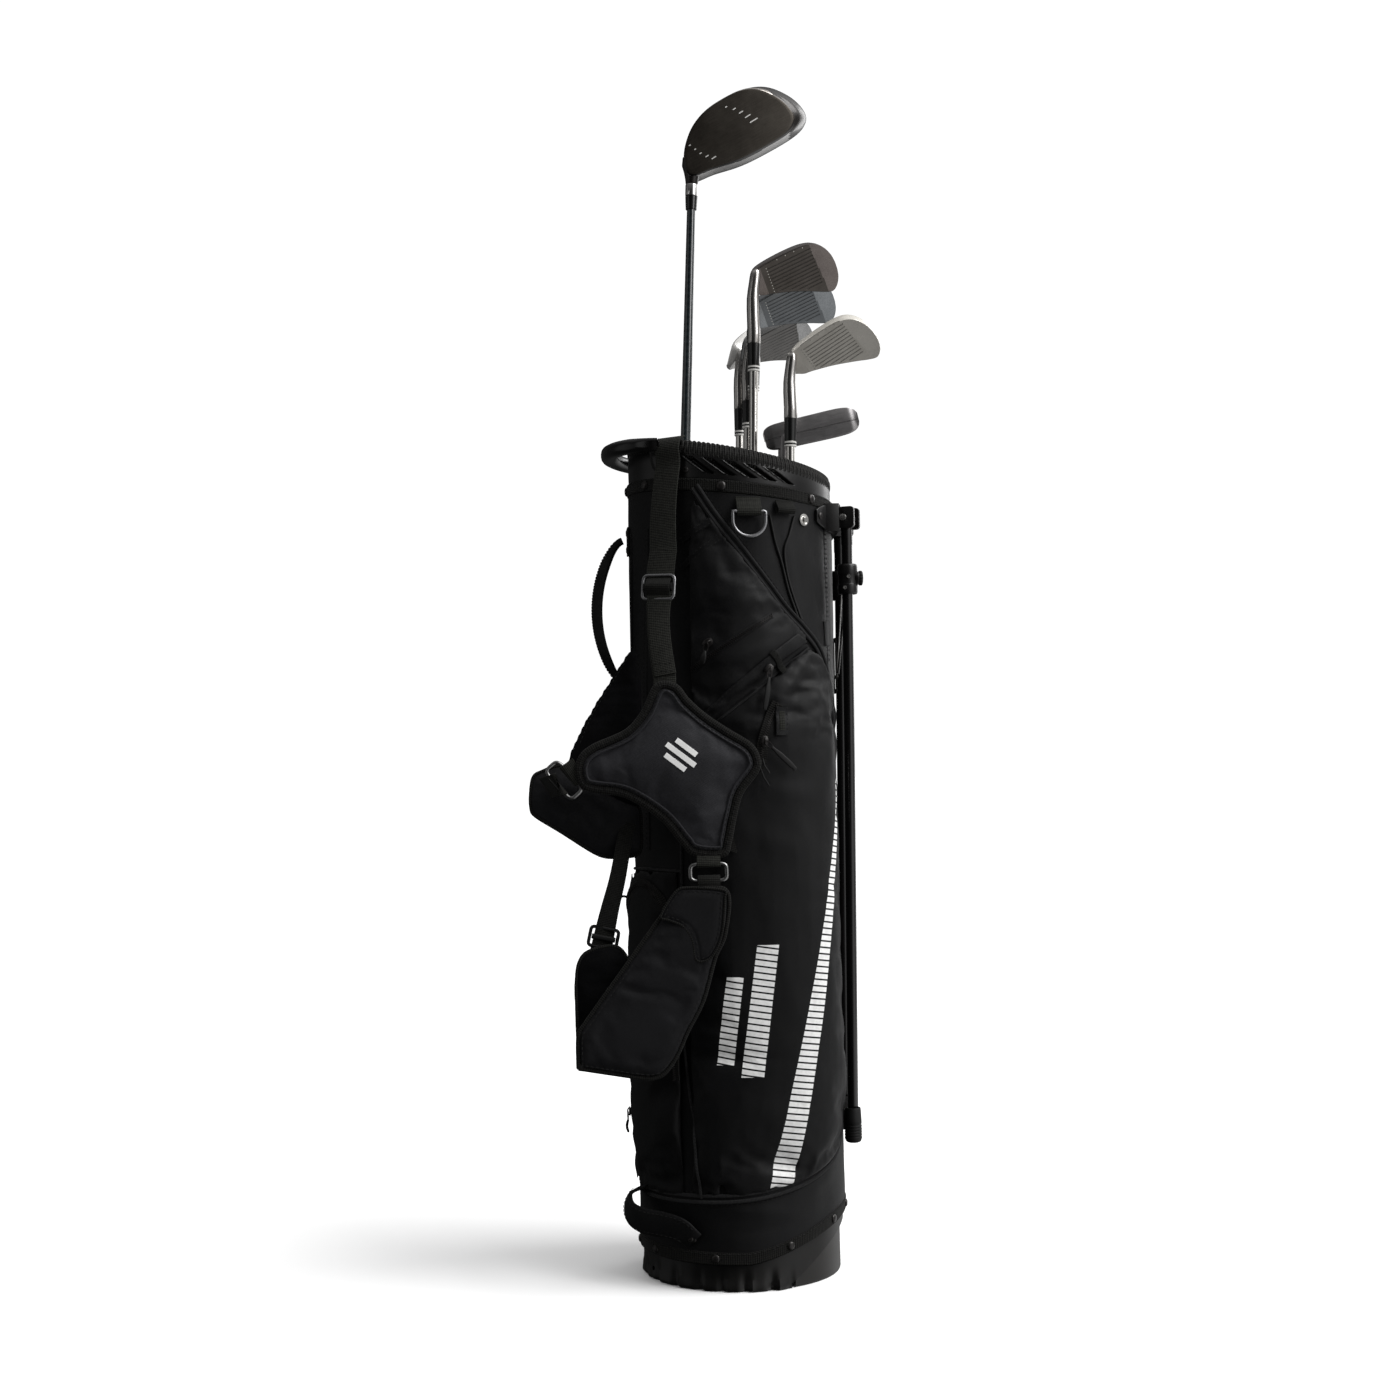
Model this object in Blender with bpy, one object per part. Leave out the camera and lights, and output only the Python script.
# Golf club set: a stand bag with a driver, five irons and a putter.
# Metres, +Z up. Origin at the centre of the base, on the ground.
# Legs stand at +X, the spine and lift handle at -X, the harness and main pocket at -Y.
# "Near" parts are on the -Y side, "far" parts on the +Y side.
import math

import bmesh
import bpy
from mathutils import Vector

for old in list(bpy.data.objects):
    bpy.data.objects.remove(old, do_unlink=True)

# ---------------------------------------------------------------- driving dimensions
MM = 0.001                        # the club head tables are in millimetres
UP = Vector((0, 0, 1))
BAG_SEGMENTS = 48
SIDES = ((-1, "near"), (1, "far"))

BODY_R, BODY_INNER_R = 0.1025, 0.0996     # fabric sleeve
POCKET_R = BODY_R + 0.0006                # inner face of every pocket
CUFF_Z, CUFF_SLOPE = 0.7628, -0.106       # lower edge of the cuff: z at x = 0, slope in x
RIM_Z, RIM_SLOPE, RIM_R = 0.8090, -0.197, 0.0965    # top of the rim roll

BOOT_R, BOOT_UPPER_R = 0.1000, 0.0990     # boot below the hem and inside the sleeve
BOOT_TOP = 0.0845
FLOOR_Z = 0.0220                          # floor the grips stand on
HINGE = Vector((0.035, 0, 0.0055))        # centre of the foot hinge
PIN_BORE_R = 0.0023
RAMP_SLOPE = 0.77                         # the boot's cut, rising toward +X

LEG_X, LEG_Y, LEG_Z = 0.115, 0.035, 0.7455    # leg hinge
LEG_SPLAY = math.radians(25)
LEG_END = 0.127
LEG_BORE_R = 0.0026
CLAMP_Z = 0.6845
ROD_X, ROD_ARM_Z = 0.0655, 0.5885         # actuator rod

BUTT_Z = 0.0232                           # lower end of the grips
CLUB_Z = 0.82                             # height at which a club's x is given
GRIP_LEN = 0.265


# ---------------------------------------------------------------- materials
def new_material(name, rgb, roughness, metallic=0.0):
    material = bpy.data.materials.new(name)
    material.use_nodes = True
    inputs = material.node_tree.nodes["Principled BSDF"].inputs
    inputs["Base Color"].default_value = (*rgb, 1)
    inputs["Roughness"].default_value = roughness
    inputs["Metallic"].default_value = metallic
    return material


FABRIC = new_material("fabric_black", rgb=(0.012, 0.012, 0.014), roughness=0.85)
WEBBING = new_material("webbing", rgb=(0.03, 0.03, 0.027), roughness=0.9)
PADDING = new_material("pad_fabric", rgb=(0.03, 0.03, 0.034), roughness=0.8)
PLASTIC = new_material("moulded_plastic", rgb=(0.02, 0.02, 0.021), roughness=0.45)
FOOT_PLASTIC = new_material("foot_plastic", rgb=(0.035, 0.033, 0.031), roughness=0.5)
TUBE = new_material("leg_tube_black", rgb=(0.01, 0.01, 0.011), roughness=0.3, metallic=0.6)
RUBBER = new_material("rubber", rgb=(0.015, 0.015, 0.015), roughness=0.8)
STEEL = new_material("steel", rgb=(0.55, 0.55, 0.55), roughness=0.3, metallic=1.0)
CHROME = new_material("chrome", rgb=(0.7, 0.69, 0.68), roughness=0.15, metallic=1.0)
DARK_SHAFT = new_material("dark_shaft", rgb=(0.02, 0.03, 0.035), roughness=0.2, metallic=0.5)
DRIVER_BLACK = new_material("driver_head", rgb=(0.03, 0.03, 0.03), roughness=0.2, metallic=0.5)
SATIN = new_material("putter_satin", rgb=(0.2, 0.19, 0.2), roughness=0.4, metallic=0.9)
RING_GREY = new_material("ring_grey", rgb=(0.15, 0.15, 0.16), roughness=0.35, metallic=0.6)


# ---------------------------------------------------------------- outlines and curves
def smoothstep(t):
    t = max(0.0, min(1.0, t))
    return t * t * (3 - 2 * t)


def dome(t, power):
    """0 at both ends, 1 in the middle; a smaller power gives fuller shoulders."""
    return max(0.0, 4 * t * (1 - t)) ** power


def polar(radius, angle, z):
    return Vector((radius * math.cos(angle), radius * math.sin(angle), z))


def circle(radius, sides):
    angles = [2 * math.pi * i / sides for i in range(sides)]
    return [(radius * math.cos(a), radius * math.sin(a)) for a in angles]


def arc(radius, start, end, steps):
    """Points on a circle about the origin; angles in degrees."""
    angles = [math.radians(start + (end - start) * i / steps) for i in range(steps + 1)]
    return [(radius * math.cos(a), radius * math.sin(a)) for a in angles]


def angle_at(x, radius):
    """Angle in degrees, from +X, at which a circle reaches x."""
    return math.degrees(math.acos(x / radius))


def box_outline(x0, x1, y0, y1):
    return [(x0, y0), (x1, y0), (x1, y1), (x0, y1)]


def rect(width, thickness, chamfer=0.0):
    """Centred rectangle, with cut corners if chamfer is given."""
    w, t, c = width / 2, thickness / 2, chamfer
    if c <= 0:
        return box_outline(-w, w, -t, t)
    return [(-w + c, -t), (w - c, -t), (w, -t + c), (w, t - c),
            (w - c, t), (-w + c, t), (-w, t - c), (-w, -t + c)]


def mirrored(points):
    """The points, followed by their mirror image in y in reverse order."""
    return points + [(x, -y) for x, y in reversed(points)]


# ---------------------------------------------------------------- solids
def make(name, verts, faces, material, origin=(0, 0, 0), sharp_angle=35):
    """Links a mesh object; verts are in world space, origin is the object's place."""
    origin = Vector(origin)
    bm = bmesh.new()
    bm_verts = [bm.verts.new(Vector(v) - origin) for v in verts]
    for face in faces:
        bm.faces.new([bm_verts[i] for i in face])
    bmesh.ops.remove_doubles(bm, verts=bm.verts, dist=1e-6)
    bmesh.ops.recalc_face_normals(bm, faces=bm.faces)
    mesh = bpy.data.meshes.new(name)
    bm.to_mesh(mesh)
    bm.free()
    mesh.materials.append(material)
    mesh.shade_smooth()
    mesh.set_sharp_from_angle(angle=math.radians(sharp_angle))
    obj = bpy.data.objects.new(name, mesh)
    obj.location = origin
    bpy.context.scene.collection.objects.link(obj)
    return obj


def add_boolean(target, tool, operation):
    tool.hide_render = True
    tool.display_type = "WIRE"
    modifier = target.modifiers.new(operation.lower(), "BOOLEAN")
    modifier.operation = operation
    modifier.solver = "EXACT"
    modifier.object = tool


def cut(target, tool):
    add_boolean(target, tool, "DIFFERENCE")


def join(target, tool):
    add_boolean(target, tool, "UNION")


def loft(name, loops, material, closed=False, **options):
    """Skins equally long loops. closed joins the last to the first, else both ends are capped."""
    size, count = len(loops[0]), len(loops)
    verts = [p for loop in loops for p in loop]
    faces = []
    for i in range(count if closed else count - 1):
        a, b = i * size, ((i + 1) % count) * size
        for j in range(size):
            k = (j + 1) % size
            faces.append((a + j, a + k, b + k, b + j))
    if not closed:
        faces.append(tuple(reversed(range(size))))
        faces.append(tuple(range((count - 1) * size, count * size)))
    return make(name, verts, faces, material, **options)


def revolve(name, profile, material, sides, base, axis=UP, **options):
    """Turns (radius, height) pairs about an axis through base."""
    base, axis = Vector(base), Vector(axis).normalized()
    reference = Vector((0, 1, 0)) if abs(axis.y) < 0.9 else Vector((1, 0, 0))
    first = reference.cross(axis).normalized()
    second = axis.cross(first)
    spokes = [first * c + second * s for c, s in circle(1, sides)]
    loops = [[base + axis * h + spoke * r for spoke in spokes] for r, h in profile]
    return loft(name, loops, material, **options)


def revolve_bag(name, profile_at, material, **options):
    """Turns about world Z a (radius, z) profile that varies with the angle from +X."""
    columns = []
    for i in range(BAG_SEGMENTS):
        angle = 2 * math.pi * i / BAG_SEGMENTS
        columns.append([polar(r, angle, z) for r, z in profile_at(angle)])
    return loft(name, list(zip(*columns)), material, **options)


def cylinder(name, radius, half_length, material, sides, centre, axis):
    profile = [(radius, -half_length), (radius, half_length)]
    return revolve(name, profile, material, sides, centre, axis)


def steel_pin(name, radius, end_radius, half_length, chamfer, centre, axis):
    shoulder = half_length - chamfer
    profile = [(end_radius, -half_length), (radius, -shoulder),
               (radius, shoulder), (end_radius, half_length)]
    return revolve(name, profile, STEEL, 12, centre, axis, origin=centre)


def prism(name, outline, material, start, end, plane="XY", **options):
    """Extrudes an outline drawn in a plane along that plane's normal axis."""
    def point(a, b, depth):
        if plane == "XY":
            return (a, b, depth)
        if plane == "XZ":
            return (a, depth, b)
        return (depth, a, b)
    loops = [[point(a, b, depth) for a, b in outline] for depth in (start, end)]
    return loft(name, loops, material, **options)


def sweep(name, path, section, material, normal, closed=False, **options):
    """Sweeps a section along a path. normal directs the section's second axis.
    section and normal may each be a list with one entry per path point."""
    path = [Vector(p) for p in path]
    count = len(path)
    loops = []
    for i, p in enumerate(path):
        before = path[(i - 1) % count] if closed or i > 0 else p
        after = path[(i + 1) % count] if closed or i < count - 1 else p
        tangent = (after - before).normalized()
        out = Vector(normal[i]) if isinstance(normal, list) else Vector(normal)
        out = (out - tangent * out.dot(tangent)).normalized()
        across = out.cross(tangent)
        points = section[i] if isinstance(section[0], list) else section
        loops.append([p + across * a + out * b for a, b in points])
    return loft(name, loops, material, closed=closed, **options)


# ---------------------------------------------------------------- boot and foot
RAMP_START_X = 0.0410
HOUSING_R, HOUSING_X = 0.0970, 0.0425     # foot housing: radius and its -X face
CUP_R = 0.0925                            # cup the grips stand in
CUP_SIDE_X = 0.020                        # where the cup narrows toward +X
CUP_LEG_R, CUP_LEG_X = 0.0745, 0.0572     # cup wall and its end on the leg side
CUP_OUTER_R, CUP_OUTER_X = 0.0770, 0.0592     # other face of that wall
FOOT_R, FOOT_WALL = 0.0965, 0.0027
FOOT_X = 0.0445                           # -X end of the foot's round plate
FOOT_HALF_WIDTH = 0.0495                  # hinge end of the foot
PIN_HALF = 0.0585


def hem_z(angle):
    """Lower edge of the sleeve, raised on the leg side."""
    return 0.027 + 0.033 * max(0.0, math.cos(angle)) ** 1.3


def ramp_z(x):
    return RAMP_SLOPE * (x - HINGE.x)


def leg_side_arc(radius, x):
    end = angle_at(x, radius)
    return arc(radius, -end, end, 14)


def boot_profile(angle):
    hem = hem_z(angle) - 0.0006
    return [(0.094, 0.0), (BOOT_R - 0.0015, 0.0), (BOOT_R, 0.0025), (BOOT_R, hem - 0.001),
            (BOOT_UPPER_R, hem), (BOOT_UPPER_R, BOOT_TOP)]


def boot_cut(boot, name, outline, start, end, plane="XY"):
    cut(boot, prism(name, outline, PLASTIC, start, end, plane))


def build_boot():
    boot = revolve_bag("base_boot", boot_profile, PLASTIC)
    # everything under the slope, including the outer wall
    ramp = [(RAMP_START_X, -0.01), (0.13, -0.01),
            (0.13, ramp_z(0.13)), (RAMP_START_X, ramp_z(RAMP_START_X))]
    boot_cut(boot, "cut_ramp", ramp, -0.13, 0.13, "XZ")
    housing = leg_side_arc(HOUSING_R, HOUSING_X)
    boot_cut(boot, "cut_housing_low", housing, -0.01, 0.0190)
    # the upper part of the housing goes around the cup wall
    wall = mirrored(arc(CUP_OUTER_R, -angle_at(HOUSING_X, CUP_OUTER_R),
                        -angle_at(CUP_OUTER_X, CUP_OUTER_R), 4))
    boot_cut(boot, "cut_housing_high", housing + wall[::-1], 0.0185, 0.0765)
    barrel_bay = [(0.0295, -0.01), (0.0430, -0.01), (0.0430, 0.0180),
                  (0.0380, 0.0180), (0.0295, 0.0115)]
    boot_cut(boot, "cut_barrel_bay", barrel_bay, -0.0508, 0.0508, "XZ")
    side = angle_at(CUP_SIDE_X, CUP_R)
    cup = arc(CUP_R, side, 360 - side, 26)
    cup += mirrored(arc(CUP_LEG_R, -angle_at(CUP_SIDE_X, CUP_LEG_R),
                        -angle_at(CUP_LEG_X, CUP_LEG_R), 4))
    boot_cut(boot, "cut_cup", cup, FLOOR_Z, 0.0790)
    boot_cut(boot, "cut_cup_top", circle(CUP_R, 40), 0.0785, 0.10)
    rod_hole = [(ROD_X + x, y) for x, y in circle(0.0040, 12)]
    boot_cut(boot, "cut_rod_hole", rod_hole, 0.07, 0.09)
    cut(boot, cylinder("cut_pin_hole", PIN_BORE_R, 0.0590, PLASTIC, 12, HINGE, (0, 1, 0)))


def foot_wall():
    """Curved wall from the foot plate up to the boot's slope."""
    end = angle_at(0.0450, FOOT_R)
    inner_r = FOOT_R - FOOT_WALL
    gap = 0.0009
    loops = []
    for i in range(21):
        angle = math.radians(-end + 2 * end * i / 20)
        outer_z = ramp_z(FOOT_R * math.cos(angle)) - gap
        inner_z = ramp_z(inner_r * math.cos(angle)) - gap
        loops.append([polar(inner_r, angle, 0.0012), polar(FOOT_R, angle, 0.0012),
                      polar(FOOT_R, angle, outer_z), polar(inner_r, angle, inner_z)])
    return loft("op_foot_wall", loops, FOOT_PLASTIC)


def build_foot():
    axis = (0, 1, 0)
    steel_pin("foot_hinge_pin", 0.0019, 0.0014, PIN_HALF, 0.0007, HINGE, axis)
    plate = leg_side_arc(FOOT_R - 0.0003, FOOT_X)
    plate += mirrored([(FOOT_X, FOOT_HALF_WIDTH), (HINGE.x + 0.001, FOOT_HALF_WIDTH)])
    foot = prism("base_foot", plate, FOOT_PLASTIC, 0.0003, 0.0033, origin=HINGE)
    join(foot, foot_wall())
    join(foot, cylinder("op_foot_barrel", 0.0046, FOOT_HALF_WIDTH, FOOT_PLASTIC, 16, HINGE, axis))
    cut(foot, cylinder("cut_foot_bore", PIN_BORE_R, 0.06, FOOT_PLASTIC, 12, HINGE, axis))


# ---------------------------------------------------------------- sleeve, cuff and rim
def cuff_z(angle):
    return CUFF_Z + CUFF_SLOPE * BODY_R * math.cos(angle)


def rim_z(angle):
    return RIM_Z + RIM_SLOPE * RIM_R * math.cos(angle)


def body_profile(angle):
    hem, top = hem_z(angle), cuff_z(angle)
    outer = [(BODY_R, hem + (top - hem) * k / 6) for k in range(7)]
    return [(BODY_INNER_R, hem)] + outer + [(BODY_INNER_R, top)]


def cuff_profile(angle):
    edge, top = cuff_z(angle), rim_z(angle) - 0.0108
    return [(0.0962, edge - 0.022), (0.0992, edge - 0.022), (0.0992, edge + 0.0004),
            (0.1015, edge + 0.0006), (0.1015, top - 0.004), (0.1000, top),
            (0.0930, top), (0.0930, edge + 0.004)]


def trim_profile(angle):
    z = rim_z(angle) - 0.0052
    return [(0.0966 + 0.0052 * c, z + 0.0050 * s) for c, s in circle(1, 10)]


def binding_profile(angle):
    edge = cuff_z(angle)
    return [(0.1019, edge + 0.0006), (0.1036, edge + 0.0010),
            (0.1036, edge + 0.0120), (0.1019, edge + 0.0124)]


def build_sleeve():
    body = revolve_bag("bag_body", body_profile, FABRIC, closed=True)
    # slot for the actuator arm
    slot = box_outline(-0.0075, 0.0075, 0.5755, 0.6245)
    cut(body, prism("cut_wire_slot", slot, FABRIC, 0.08, 0.12, "YZ"))
    revolve_bag("top_cuff", cuff_profile, PLASTIC, closed=True)
    revolve_bag("rim_trim", trim_profile, WEBBING, closed=True)
    revolve_bag("cuff_binding", binding_profile, WEBBING, closed=True)


def build_lift_handle():
    """Loop of moulded plastic standing off the cuff at -X."""
    path = []
    for k in range(13):
        angle = math.radians(118 + 124 * k / 12)
        rise = math.sin(math.pi * k / 12)
        path.append(polar(0.1090 + 0.0150 * rise ** 0.75, angle, 0.8145 + 0.0035 * rise))
    sweep("lift_handle", path, rect(0.0120, 0.0080, 0.0025), PLASTIC, normal=UP)


def build_divider():
    """Bar along Y across the mouth, with a cross bar toward the spine."""
    bar = box_outline(-0.0130, -0.0075, -0.0905, 0.0905)
    divider = prism("club_divider", bar, WEBBING, 0.752, 0.764)
    cross = box_outline(-0.0800, -0.0100, 0.0280, 0.0335)
    join(divider, prism("op_divider_cross", cross, WEBBING, 0.7522, 0.7638))


def build_spine_stay():
    """Stiffening stay inside the sleeve at -X."""
    outline = mirrored([(-0.0986, -0.0060), (-0.0960, -0.0070)])
    prism("spine_stay", outline, PLASTIC, 0.0880, 0.7430)


# ---------------------------------------------------------------- pockets
def pocket(name, start, end, bottom, top, outer_radius, columns, rows):
    """Closed solid on the sleeve between two angles in degrees. bottom and top give z at
    an angle; outer_radius takes the fractions across and up, and the angle."""
    outer, inner = [], []
    for i in range(columns + 1):
        across = i / columns
        degrees = start + (end - start) * across
        angle = math.radians(degrees)
        low, high = bottom(degrees), top(degrees)
        for j in range(rows + 1):
            up = j / rows
            z = low + (high - low) * up
            outer.append(polar(outer_radius(across, up, degrees), angle, z))
            inner.append(polar(POCKET_R, angle, z))

    def out(i, j):
        return i * (rows + 1) + j

    def back(i, j):
        return len(outer) + out(i, j)

    faces = []
    for i in range(columns):
        for j in range(rows):
            faces.append((out(i, j), out(i + 1, j), out(i + 1, j + 1), out(i, j + 1)))
            faces.append((back(i, j + 1), back(i + 1, j + 1), back(i + 1, j), back(i, j)))
        faces.append((back(i, 0), back(i + 1, 0), out(i + 1, 0), out(i, 0)))
        faces.append((out(i, rows), out(i + 1, rows), back(i + 1, rows), back(i, rows)))
    for j in range(rows):
        faces.append((out(0, j), out(0, j + 1), back(0, j + 1), back(0, j)))
        faces.append((back(columns, j), back(columns, j + 1),
                      out(columns, j + 1), out(columns, j)))
    make(name, outer + inner, faces, FABRIC)


def bulge(edge, crown, across_power, up_power):
    """Outer radius rising from edge at the border to crown in the middle."""
    def radius(across, up, degrees):
        return edge + (crown - edge) * dome(across, across_power) * dome(up, up_power)
    return radius


def main_bottom(degrees):
    return 0.092 + 0.043 * smoothstep((degrees - 262) / 70)


def main_top(degrees):
    step_up = 0.108 * smoothstep((degrees - 301) / 9)
    step_down = 0.085 * smoothstep((degrees - 318) / 18)
    return 0.492 + step_up - step_down


def main_radius(across, up, degrees):
    """The pocket gets deeper toward its +X end."""
    depth = 0.0045 + 0.0150 * smoothstep((degrees - 272) / 45)
    return POCKET_R + 0.0022 + depth * dome(across, 0.35) * dome(up, 0.3)


def build_pockets():
    pocket("main_pocket", 241, 337, main_bottom, main_top, main_radius, columns=20, rows=10)
    pocket("upper_pocket", 247, 296, lambda degrees: 0.4985,
           lambda degrees: 0.600 + 0.062 * (degrees - 247) / 49,
           bulge(POCKET_R + 0.0020, POCKET_R + 0.0060, 0.35, 0.35), columns=10, rows=6)
    pocket("ball_pocket", 190, 238, lambda degrees: 0.088, lambda degrees: 0.400,
           bulge(0.1052, 0.1130, 0.4, 0.35), columns=10, rows=8)
    pocket("rear_pocket", 28, 152, lambda degrees: 0.100,
           lambda degrees: 0.640 - 0.10 * smoothstep((60 - degrees) / 32),
           bulge(0.1060, 0.1260, 0.35, 0.3), columns=20, rows=10)


# ---------------------------------------------------------------- small fittings
TOWEL_ANGLE = math.radians(277.0)
TOWEL_RING_HALF_WIDTH = 0.0160
GRAB_X, GRAB_Y = -0.1090, -0.0060


def build_towel_ring():
    """Webbing tab below the cuff with a D-shaped ring, straight side up."""
    centre = polar(0.1056, TOWEL_ANGLE, 0.7510)
    out = polar(1, TOWEL_ANGLE, 0)
    across = Vector((-out.y, out.x, 0))
    tab = [centre + out * 0.0008 + UP * z for z in (0.0030, -0.0080)]
    sweep("towel_ring_tab", tab, rect(0.024, 0.0022), WEBBING, normal=out)
    top = centre + out * 0.0042 - UP * 0.0065
    path = [top - across * TOWEL_RING_HALF_WIDTH, top + across * TOWEL_RING_HALF_WIDTH]
    for k in range(9):
        angle = math.pi * k / 8
        path.append(top + across * (TOWEL_RING_HALF_WIDTH * math.cos(angle))
                    - UP * (0.0080 + 0.0150 * math.sin(angle)))
    sweep("towel_ring", path, circle(0.0017, 6), RING_GREY, normal=out, closed=True, origin=top)


def build_grab_handle():
    """Handle at -X, fixed at both ends and standing off between them."""
    path, sections = [], []
    for k in range(13):
        t = k / 12
        x = GRAB_X - 0.0265 * math.sin(math.pi * t) ** 0.62
        path.append((x, GRAB_Y, 0.7295 - 0.1440 * t))
        from_end = min(k, 12 - k)
        sections.append(rect(0.0060 + 0.0025 * smoothstep(from_end / 2),
                             0.0090 + 0.0130 * smoothstep(from_end / 3), 0.0018))
    sweep("grab_handle", path, sections, PLASTIC, normal=(0, 1, 0),
          origin=(GRAB_X, GRAB_Y, 0.66))


def zip_point(t):
    """Point on the upper pocket's zip at a fraction of its length."""
    return polar(0.1125, math.radians(250 + 42 * t), 0.612 + 0.056 * t)


def build_zip_slider():
    centre = zip_point(0.12)
    along = (zip_point(0.5) - centre).normalized()
    out = Vector((centre.x, centre.y, 0)).normalized()
    end, middle = rect(0.005, 0.002, 0.0006), rect(0.0075, 0.0036, 0.0008)
    path = [centre + along * offset for offset in (-0.005, -0.003, 0.003, 0.005)]
    sweep("zip_slider", path, [end, middle, middle, end], RING_GREY, normal=out, origin=centre)


# ---------------------------------------------------------------- legs
WIRE_TOP = (LEG_X, 0.0234, 0.6775)        # y is mirrored for the near leg
WIRE_END = (0.1065, 0.0062, 0.5915)
CLAMP_PROFILE = [                         # radius, height from the clamp's centre
    (0.0057, -0.0150), (0.0092, -0.0150), (0.0100, -0.0130),
    (0.0100, 0.0130), (0.0092, 0.0150), (0.0057, 0.0150)]
KNOB_PROFILE = [(0.0060, 0.0085), (0.0072, 0.0100), (0.0072, 0.0135), (0.0050, 0.0155)]
LEG_FOOT_PROFILE = [                      # radius, height above the leg's end
    (0.0060, 0.0), (0.0082, 0.0025), (0.0086, 0.0120),
    (0.0076, 0.0340), (0.0057, 0.0340), (0.0057, 0.0210)]


def leg_hinge(side):
    """Centre and axis of a leg's hinge; side is -1 for near, +1 for far."""
    centre = Vector((LEG_X, LEG_Y * side, LEG_Z))
    axis = Vector((math.sin(LEG_SPLAY) * side, -math.cos(LEG_SPLAY), 0))
    return centre, axis


def hinge_lug(name, side, end):
    """Box reaching from the bracket to one end of a leg's hinge."""
    hinge, axis = leg_hinge(side)
    out = UP.cross(axis)
    root = 0.0075 + 0.0039 * end * side    # reach back to the bracket
    centre = hinge + axis * (0.0086 * end) - out * (root / 2 - 0.0010)
    half_out, half_height = root / 2 + 0.0045, 0.0080
    corners = ((-1, -1), (1, -1), (1, 1), (-1, 1))
    loops = [[centre + axis * along + out * (a * half_out) + UP * (b * half_height)
              for a, b in corners] for along in (-0.0020, 0.0020)]
    return loft(name, loops, PLASTIC)


def build_leg_bracket():
    outline = arc(0.1042, -29, 29, 12) + mirrored([(0.1062, 0.0500)])
    bracket = prism("leg_bracket", outline, PLASTIC, 0.7315, 0.7590)
    for side, tag in SIDES:
        join(bracket, hinge_lug(f"op_lug_{tag}_a", side, -1))
        join(bracket, hinge_lug(f"op_lug_{tag}_b", side, 1))
    for side, tag in SIDES:
        cut(bracket, cylinder(f"cut_lug_{tag}", LEG_BORE_R, 0.0122, PLASTIC, 12,
                              *leg_hinge(side)))


def build_leg(side, tag):
    hinge, axis = leg_hinge(side)
    ground = Vector((hinge.x, hinge.y, 0))
    steel_pin(f"leg_pin_{tag}", 0.0022, 0.0016, 0.0112, 0.0006, hinge, axis)

    heights = (LEG_END + 0.0215, 0.4, LEG_Z - 0.0020)
    tube = revolve(f"leg_tube_{tag}", [(0.0053, z) for z in heights], TUBE, 16, ground,
                   origin=hinge)
    join(tube, cylinder(f"op_barrel_{tag}", 0.0058, 0.0056, TUBE, 16, hinge, axis))
    cut(tube, cylinder(f"cut_barrel_{tag}", LEG_BORE_R, 0.012, TUBE, 12, hinge, axis))

    centre = ground + UP * CLAMP_Z
    clamp = revolve(f"leg_clamp_{tag}", CLAMP_PROFILE, PLASTIC, 20, centre,
                    closed=True, origin=centre)
    join(clamp, revolve(f"op_knob_{tag}", KNOB_PROFILE, PLASTIC, 16,
                        centre + UP * 0.001, axis=(1, 0, 0)))

    end = ground + UP * LEG_END
    revolve(f"leg_foot_{tag}", LEG_FOOT_PROFILE, RUBBER, 20, end, origin=end)


def build_leg_clip():
    """Block that holds the legs against the sleeve near the ground."""
    outline = arc(0.1036, -14, 14, 6) + mirrored([(0.1090, 0.0225), (0.1140, 0.0180)])
    prism("leg_clip", outline, PLASTIC, 0.1400, 0.1580)


def build_actuator():
    """Rod inside the sleeve with an arm out through the slot, and a wire from each clamp."""
    path = [(ROD_X, 0, 0.0045), (ROD_X, 0, 0.30), (ROD_X, 0, 0.5815),
            (ROD_X + 0.0020, 0, 0.5868), (ROD_X + 0.0075, 0, ROD_ARM_Z), (0.1075, 0, ROD_ARM_Z)]
    sweep("actuator_rod", path, circle(0.0019, 8), STEEL, normal=(0, 1, 0), origin=path[0][:2] + (0,))
    for side, tag in SIDES:
        top, end = [Vector((x, y * side, z)) for x, y, z in (WIRE_TOP, WIRE_END)]
        sweep(f"brace_wire_{tag}", [top, top.lerp(end, 0.5), end], circle(0.0012, 8), STEEL,
              normal=(0, 1, 0), origin=top)


# ---------------------------------------------------------------- harness
STRAP_ANGLE = math.radians(234)
STRAP_END = Vector((-0.0705, -0.1165, 0.5850))

# pad outlines: x, z
BACK_PAD = [
    (-0.080, 0.580), (-0.060, 0.580), (-0.048, 0.566), (-0.032, 0.551), (-0.012, 0.537),
    (0.011, 0.522), (0.019, 0.507), (0.017, 0.494), (0.002, 0.474), (-0.004, 0.455),
    (-0.010, 0.428), (-0.018, 0.414), (-0.046, 0.416), (-0.058, 0.427), (-0.078, 0.451),
    (-0.110, 0.472), (-0.142, 0.478), (-0.155, 0.487), (-0.156, 0.508), (-0.142, 0.523),
    (-0.110, 0.537), (-0.094, 0.554)]
NEAR_PAD = [
    (-0.0465, 0.3860), (-0.0150, 0.3830), (-0.0170, 0.3430), (-0.0270, 0.3200),
    (-0.0390, 0.2800), (-0.0540, 0.2515), (-0.0650, 0.2280), (-0.0790, 0.2095),
    (-0.0920, 0.2075), (-0.1500, 0.2170), (-0.1560, 0.2515), (-0.1150, 0.3120),
    (-0.0770, 0.3630), (-0.0610, 0.3830)]
FAR_PAD = [
    (-0.1120, 0.6120), (-0.1300, 0.6060), (-0.1550, 0.5450), (-0.1640, 0.5050),
    (-0.1910, 0.4980), (-0.2030, 0.4800), (-0.1990, 0.4570), (-0.1300, 0.4130),
    (-0.1180, 0.4150), (-0.1190, 0.4450), (-0.1250, 0.4900), (-0.1200, 0.5500)]
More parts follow.
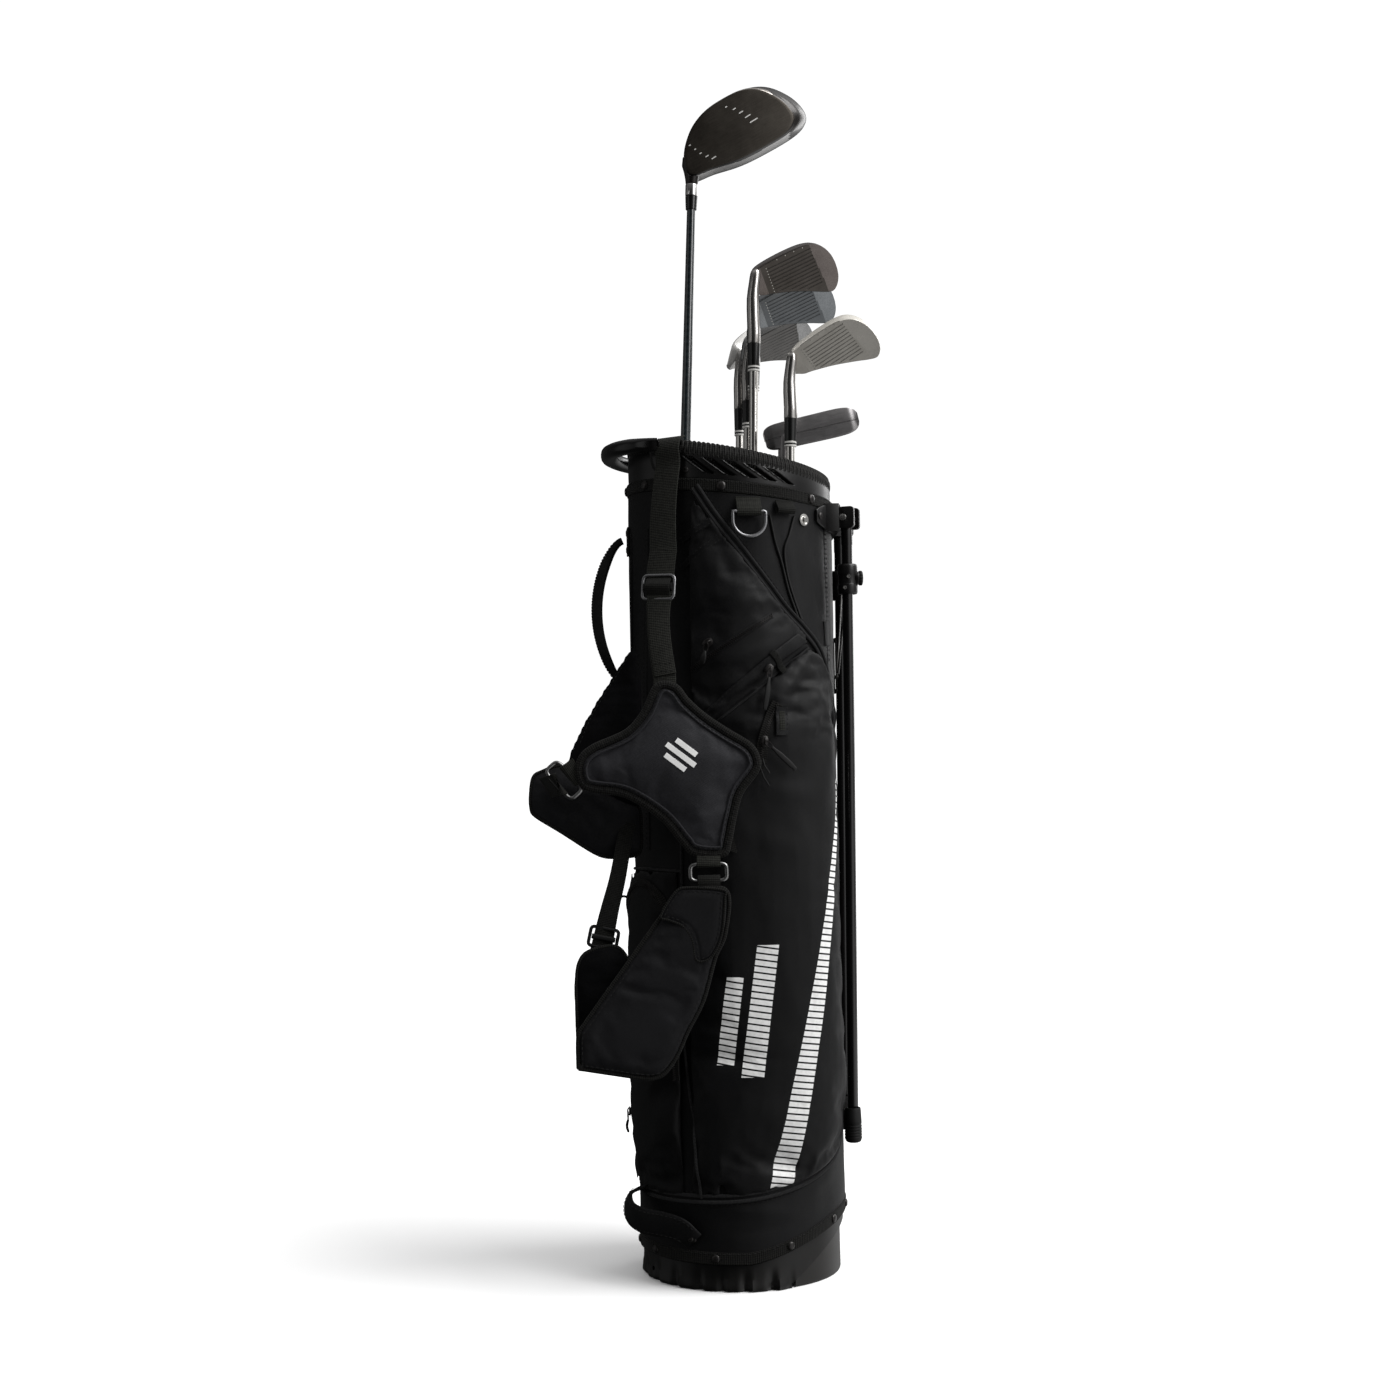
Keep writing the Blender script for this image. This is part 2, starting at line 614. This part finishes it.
LOWER_WEBBING = [
    (-0.1200, 0.4100), (-0.1200, 0.395), (-0.1330, 0.345), (-0.1360, 0.3330),
    (-0.1250, 0.2950), (-0.1300, 0.2700), (-0.1520, 0.2700), (-0.1590, 0.3050),
    (-0.1560, 0.3330), (-0.1530, 0.3450), (-0.1380, 0.3950), (-0.1360, 0.4060)]


def build_strap():
    """Webbing from the cuff down to the back pad, with a slider buckle around it."""
    out = polar(1, STRAP_ANGLE, 0)
    start = out * 0.1075 + UP * 0.7920
    path, normals, sections = [], [], []
    for k in range(9):
        t = k / 8
        sag = Vector((0.0, 0.0030 * math.sin(math.pi * t), 0))
        path.append(start.lerp(STRAP_END, t) + sag)
        normals.append(out.lerp(Vector((-0.12, -0.99, 0)), smoothstep(t)))
        sections.append(rect(0.034 - 0.009 * smoothstep((k - 1) / 4), 0.0022))
    sweep("strap_webbing", path, sections, WEBBING, normal=normals, origin=path[0])

    centre = path[4].lerp(path[5], 0.6)
    along = (path[5] - path[4]).normalized()
    normal = normals[4].lerp(normals[5], 0.6)
    normal = (normal - along * normal.dot(along)).normalized()
    across = normal.cross(along)
    # offset along the strap, width, thickness: outer wall, then inner wall
    stations = [(-0.012, 0.0360, 0.0085), (0.012, 0.0360, 0.0085),
                (0.012, 0.0305, 0.0042), (-0.012, 0.0305, 0.0042)]
    loops = [[centre + along * offset + across * a + normal * b
              for a, b in rect(width, thickness, 0.0012)]
             for offset, width, thickness in stations]
    loft("strap_slider", loops, PLASTIC, closed=True, origin=centre)


def pad(name, outline, centre, layers, middle_y, **options):
    """Cushion: layers are (y offset, scale about centre); middle_y gives y at x, z."""
    cx, cz = centre
    loops = [[(cx + (x - cx) * scale, middle_y(x, z) + offset, cz + (z - cz) * scale)
              for x, z in outline] for offset, scale in layers]
    loft(name, loops, PADDING, **options)


def build_pads():
    pad("harness_pad", BACK_PAD, (-0.066, 0.500),
        ((-0.0050, 0.90), (-0.0035, 1.0), (0.0035, 1.0), (0.0050, 0.90)),
        lambda x, z: -0.1180 + 0.10 * max(0.0, -0.085 - x) ** 1.2)
    pad("shoulder_pad_near", NEAR_PAD, (-0.085, 0.290),
        ((-0.0055, 0.92), (-0.0035, 1.0), (0.0035, 1.0), (0.0050, 0.93)),
        lambda x, z: -0.1240 + 0.02 * max(0, 0.30 - z), origin=(-0.030, -0.120, 0.394))
    pad("shoulder_pad_far", FAR_PAD, (-0.150, 0.500),
        ((-0.0055, 0.93), (-0.0035, 1.0), (0.0035, 1.0), (0.0055, 0.93)),
        lambda x, z: -0.0750, origin=(-0.1650, -0.0750, 0.5000))
    prism("lower_webbing", LOWER_WEBBING, WEBBING, -0.0900, -0.0850, "XZ",
          origin=(-0.128, -0.0875, 0.41))


def pad_ring(name, centre, across, up, width, height=0.020):
    """Rounded rectangular ring facing -Y."""
    across, up = Vector(across).normalized(), Vector(up).normalized()

    def squared(value):
        return math.copysign(abs(value) ** 0.55, value)

    path = [Vector(centre) + across * (width / 2 * squared(c)) + up * (height / 2 * squared(s))
            for c, s in circle(1, 16)]
    sweep(name, path, circle(0.0017, 6), RING_GREY, normal=(0, -1, 0), closed=True,
          origin=centre)


def build_pad_rings():
    pad_ring("pad_ring_lower", (-0.0300, -0.1195, 0.3985), (1, 0, -0.1), (0.1, 0, 1),
             width=0.026)
    pad_ring("pad_ring_side", (-0.1725, -0.1090, 0.4930), (0.55, -0.10, 0.8),
             (-0.8, 0.1, 0.55), width=0.030)


# ---------------------------------------------------------------- clubs
# Clubs stand grip down, so each head's sole is uppermost.
# Head tables are in mm: u from heel to toe, w down from the sole, q out of the face.
class Club:
    """A shaft line leaning in x, with the head turned about it by an angle in degrees."""

    def __init__(self, x, y, slope, turn):
        self.x, self.y, self.slope = x, y, slope
        self.shaft = Vector((slope, 0, 1)).normalized()
        toe = polar(1, math.radians(turn), 0)
        self.toe = (toe - self.shaft * toe.dot(self.shaft)).normalized()
        self.face = self.toe.cross(self.shaft)
        self.butt = self.at(BUTT_Z)

    def at(self, z):
        return Vector((self.x + self.slope * (z - CLUB_Z), self.y, z))

    def along(self, z):
        """Distance along the shaft from the butt to height z."""
        return (z - BUTT_Z) / self.shaft.z

    def turned(self, name, profile, material, sides, start=0.0, **options):
        """Revolves (radius, distance from start) pairs about the shaft."""
        profile = [(r, start + h) for r, h in profile]
        return revolve(name, profile, material, sides, self.butt, axis=self.shaft, **options)

    def head_frame(self, origin, lie, loft_angle=0.0):
        """Returns a function placing (u, w, q) in the world; angles in degrees."""
        lie, tilt = math.radians(lie), math.radians(loft_angle)
        length = self.toe * math.cos(lie) + self.shaft * math.sin(lie)
        down = self.toe * math.sin(lie) - self.shaft * math.cos(lie)
        height = down * math.cos(tilt) - self.face * math.sin(tilt)
        out = self.face * math.cos(tilt) + down * math.sin(tilt)

        def place(u, w, q):
            return origin + (length * u + height * w + out * q) * MM
        return place


GRIP_PROFILE = [                          # radius, distance from the butt
    (0.0100, 0.0), (0.0120, 0.0022), (0.0119, 0.030), (0.0106, 0.14),
    (0.0092, GRIP_LEN - 0.004), (0.0086, GRIP_LEN), (0.0075, GRIP_LEN), (0.0075, 0.0030)]
SHAFT_BUTT_R, SHAFT_WALL = 0.0070, 0.0010


def grip_and_shaft(tag, club, tip_z, tip_radius, material):
    club.turned(f"grip_{tag}", GRIP_PROFILE, RUBBER, 14, origin=club.butt)
    length = club.along(tip_z)
    outer = [(SHAFT_BUTT_R, 0.0036), (SHAFT_BUTT_R * 0.99, GRIP_LEN + 0.01),
             ((SHAFT_BUTT_R + tip_radius) / 2, 0.55 * length),
             (tip_radius, length - 0.06), (tip_radius, length)]
    inner = [(r - SHAFT_WALL, h) for r, h in reversed(outer)]
    club.turned(f"shaft_{tag}", outer + inner, material, 12, closed=True, origin=club.butt)


IRON_LIE = 28
HOSEL_LEN = 0.055
SOCKET_R = 0.0050
STEEL_TIP_R = 0.0046
# u, sole w, top line w, sole thickness
IRON_STATIONS = [
    (-11, 17.5, 21.5, 4.5), (-7, 11, 24, 8), (-1, 3.2, 28, 12), (8, 0.6, 30.5, 15),
    (28, -0.5, 37.5, 16.5), (48, -0.2, 46.5, 16.5), (60, 1.5, 52.5, 15.5),
    (68, 5.2, 55.0, 13.5), (74, 11.5, 51.5, 11), (78, 20, 44.5, 8), (79.5, 28, 37, 6)]
# tag, x, y, turn, heel z, loft, scale
IRONS = [
    ("iron_a", 0.0255, -0.004, 8, 1.005, 24, 1.05),
    ("iron_b", 0.0270, 0.0215, 6, 0.976, 30, 1.04),
    ("iron_c", 0.0230, 0.0475, 20, 0.942, 38, 1.0),
    ("iron_d", 0.0160, 0.0715, 60, 0.938, 46, 1.0),
    ("iron_e", 0.0600, -0.0430, -27, 0.911, 40, 1.0)]
STEEL_CLUB_SLOPE = 0.0236                 # lean of the irons and the putter


def iron_section(sole, top, sole_thickness):
    """(w, q) outline: flat face at q = 0, thick sole, thin blade."""
    height = top - sole
    blade = min(4.6, sole_thickness * 0.8)
    middle = blade + (sole_thickness - blade) * 0.35
    return [(sole + 1.0, 0.0), (sole + 0.2, -0.22 * sole_thickness),
            (sole + 0.3, -0.75 * sole_thickness), (sole + 0.06 * height + 1.2, -sole_thickness),
            (sole + 0.45 * height, -middle), (top - 0.8, -blade),
            (top, -blade * 0.5), (top - 0.6, 0.0)]


def build_iron(tag, x, y, turn, heel_z, loft_angle, scale):
    club = Club(x, y, STEEL_CLUB_SLOPE, turn)
    heel = club.at(heel_z)
    place = club.head_frame(heel + club.face * 0.0035, IRON_LIE, loft_angle)
    loops = [[place(u * scale, w * scale, q * scale) for w, q in iron_section(*sizes)]
             for u, *sizes in IRON_STATIONS]
    head = loft(f"head_{tag}", loops, CHROME, origin=heel)
    start = club.along(heel_z)
    hosel = [(0.0062, -HOSEL_LEN), (0.0066, -HOSEL_LEN + 0.002), (0.0068, -0.020),
             (0.0066, -0.008), (0.0045, -0.0030)]
    join(head, club.turned(f"op_hosel_{tag}", hosel, CHROME, 16, start))
    socket = [(SOCKET_R, -HOSEL_LEN - 0.01), (SOCKET_R, -HOSEL_LEN + 0.028)]
    cut(head, club.turned(f"cut_hosel_{tag}", socket, CHROME, 12, start))
    grip_and_shaft(tag, club, heel_z - HOSEL_LEN + 0.0270, STEEL_TIP_R, CHROME)


DRIVER_HEEL_Z = 1.0945
DRIVER_CENTRE = (64, -28)                 # u, w about which the outline is scaled
DRIVER_FACE = [                           # u, w
    (2, -12), (5, -25), (13, -37), (27, -49), (45, -56.5), (66, -59), (88, -58), (104, -51),
    (116, -38), (123, -24), (124, -11), (116, -3), (101, 0.5), (73, 1.5), (50, 0.5),
    (26, -4), (8, -6)]
DRIVER_BODY = [                           # q, u scale, w scale, u shift, w shift
    (-9, 1.06, 1.05, 3.5, 1.0), (-30, 1.12, 1.08, 7.0, 1.5), (-55, 1.06, 0.98, 6, 3),
    (-80, 0.82, 0.74, 0, 5), (-98, 0.50, 0.42, -4, 7), (-106, 0.22, 0.16, -6, 8)]


def build_driver():
    """Hollow wood, face toward -Y, crown facing down."""
    club = Club(-0.0435, 0.005, 0.0426, 0)
    heel = club.at(DRIVER_HEEL_Z)
    place = club.head_frame(heel + club.face * 0.0085, lie=30, loft_angle=10)
    cu, cw = DRIVER_CENTRE
    loops = []
    # the bulged face, from a small inner loop out to its edge
    for scale in (0.45, 0.8, 1.0):
        loop = []
        for u, w in DRIVER_FACE:
            du, dw = (u - cu) * scale, (w - cw) * scale
            loop.append(place(cu + du, cw + dw, 4.0 - 0.0011 * du ** 2 - 0.0012 * dw ** 2))
        loops.append(loop)
    for q, u_scale, w_scale, u_shift, w_shift in DRIVER_BODY:
        loops.append([place(cu + u_shift + (u - cu) * u_scale,
                            cw + w_shift + (w - cw) * w_scale, q) for u, w in DRIVER_FACE])
    head = loft("head_driver", loops, DRIVER_BLACK, origin=heel, sharp_angle=50)
    middle = place(66, -28, -46)
    shrunk = [[middle + (p - middle) * 0.945 for p in loop] for loop in loops]
    cavity = loft("cut_driver_cavity", shrunk, DRIVER_BLACK)
    start = club.along(DRIVER_HEEL_Z)
    hosel = [(0.0058, -0.016), (0.0062, -0.014), (0.0070, 0.002), (0.0085, 0.018)]
    join(head, club.turned("op_hosel_driver", hosel, DRIVER_BLACK, 16, start))
    cut(head, cavity)
    socket = [(0.0046, -0.03), (0.0046, 0.034)]
    cut(head, club.turned("cut_hosel_driver", socket, DRIVER_BLACK, 12, start))
    grip_and_shaft("driver", club, DRIVER_HEEL_Z + 0.0110, 0.0042, DARK_SHAFT)


PUTTER_HEEL_Z = 0.8430
PUTTER_STATIONS = [                       # u, sole w, top w, thickness scale
    (-23, 3, 18, 0.8), (-20, -1, 21, 0.8), (-13, -3, 23, 1.0), (15, -4, 24, 1.0),
    (45, -4.2, 24.5, 1.0), (62, -3.5, 24, 1.0), (70.5, -1, 21, 0.8), (74, 4, 15, 0.8)]


def putter_section(sole, top, k):
    """(w, q) outline: a thick sole under a thin blade, k scaling the thickness."""
    return [(sole + 1, 5.0 * k), (sole, 2.0 * k), (sole, -6.0 * k), (sole + 2, -7.5 * k),
            (sole + 8, -7.2 * k), (top - 9, 1.0), (top - 1, 0.5), (top, 2.5),
            (top - 1, 5.0 * k)]


def build_putter():
    """Thin blade with a short neck."""
    club = Club(0.0560, -0.0170, STEEL_CLUB_SLOPE, 0)
    heel = club.at(PUTTER_HEEL_Z)
    place = club.head_frame(heel, lie=14)
    loops = [[place(u, w, q) for w, q in putter_section(*sizes)]
             for u, *sizes in PUTTER_STATIONS]
    head = loft("head_putter", loops, SATIN, origin=heel)
    start = club.along(PUTTER_HEEL_Z)
    neck = [(0.0060, -0.045), (0.0064, -0.043), (0.0066, -0.020), (0.0050, -0.008)]
    join(head, club.turned("op_neck_putter", neck, SATIN, 16, start))
    socket = [(SOCKET_R, -0.06), (SOCKET_R, -0.025)]
    cut(head, club.turned("cut_neck_putter", socket, SATIN, 12, start))
    grip_and_shaft("putter", club, PUTTER_HEEL_Z - 0.0262, STEEL_TIP_R, CHROME)


# ---------------------------------------------------------------- build
build_boot()
build_foot()
build_sleeve()
build_lift_handle()
build_divider()
build_spine_stay()
build_pockets()
build_towel_ring()
build_grab_handle()
build_zip_slider()
build_leg_bracket()
for leg_side, leg_tag in SIDES:
    build_leg(leg_side, leg_tag)
build_leg_clip()
build_actuator()
build_strap()
build_pads()
build_pad_rings()
for iron in IRONS:
    build_iron(*iron)
build_driver()
build_putter()
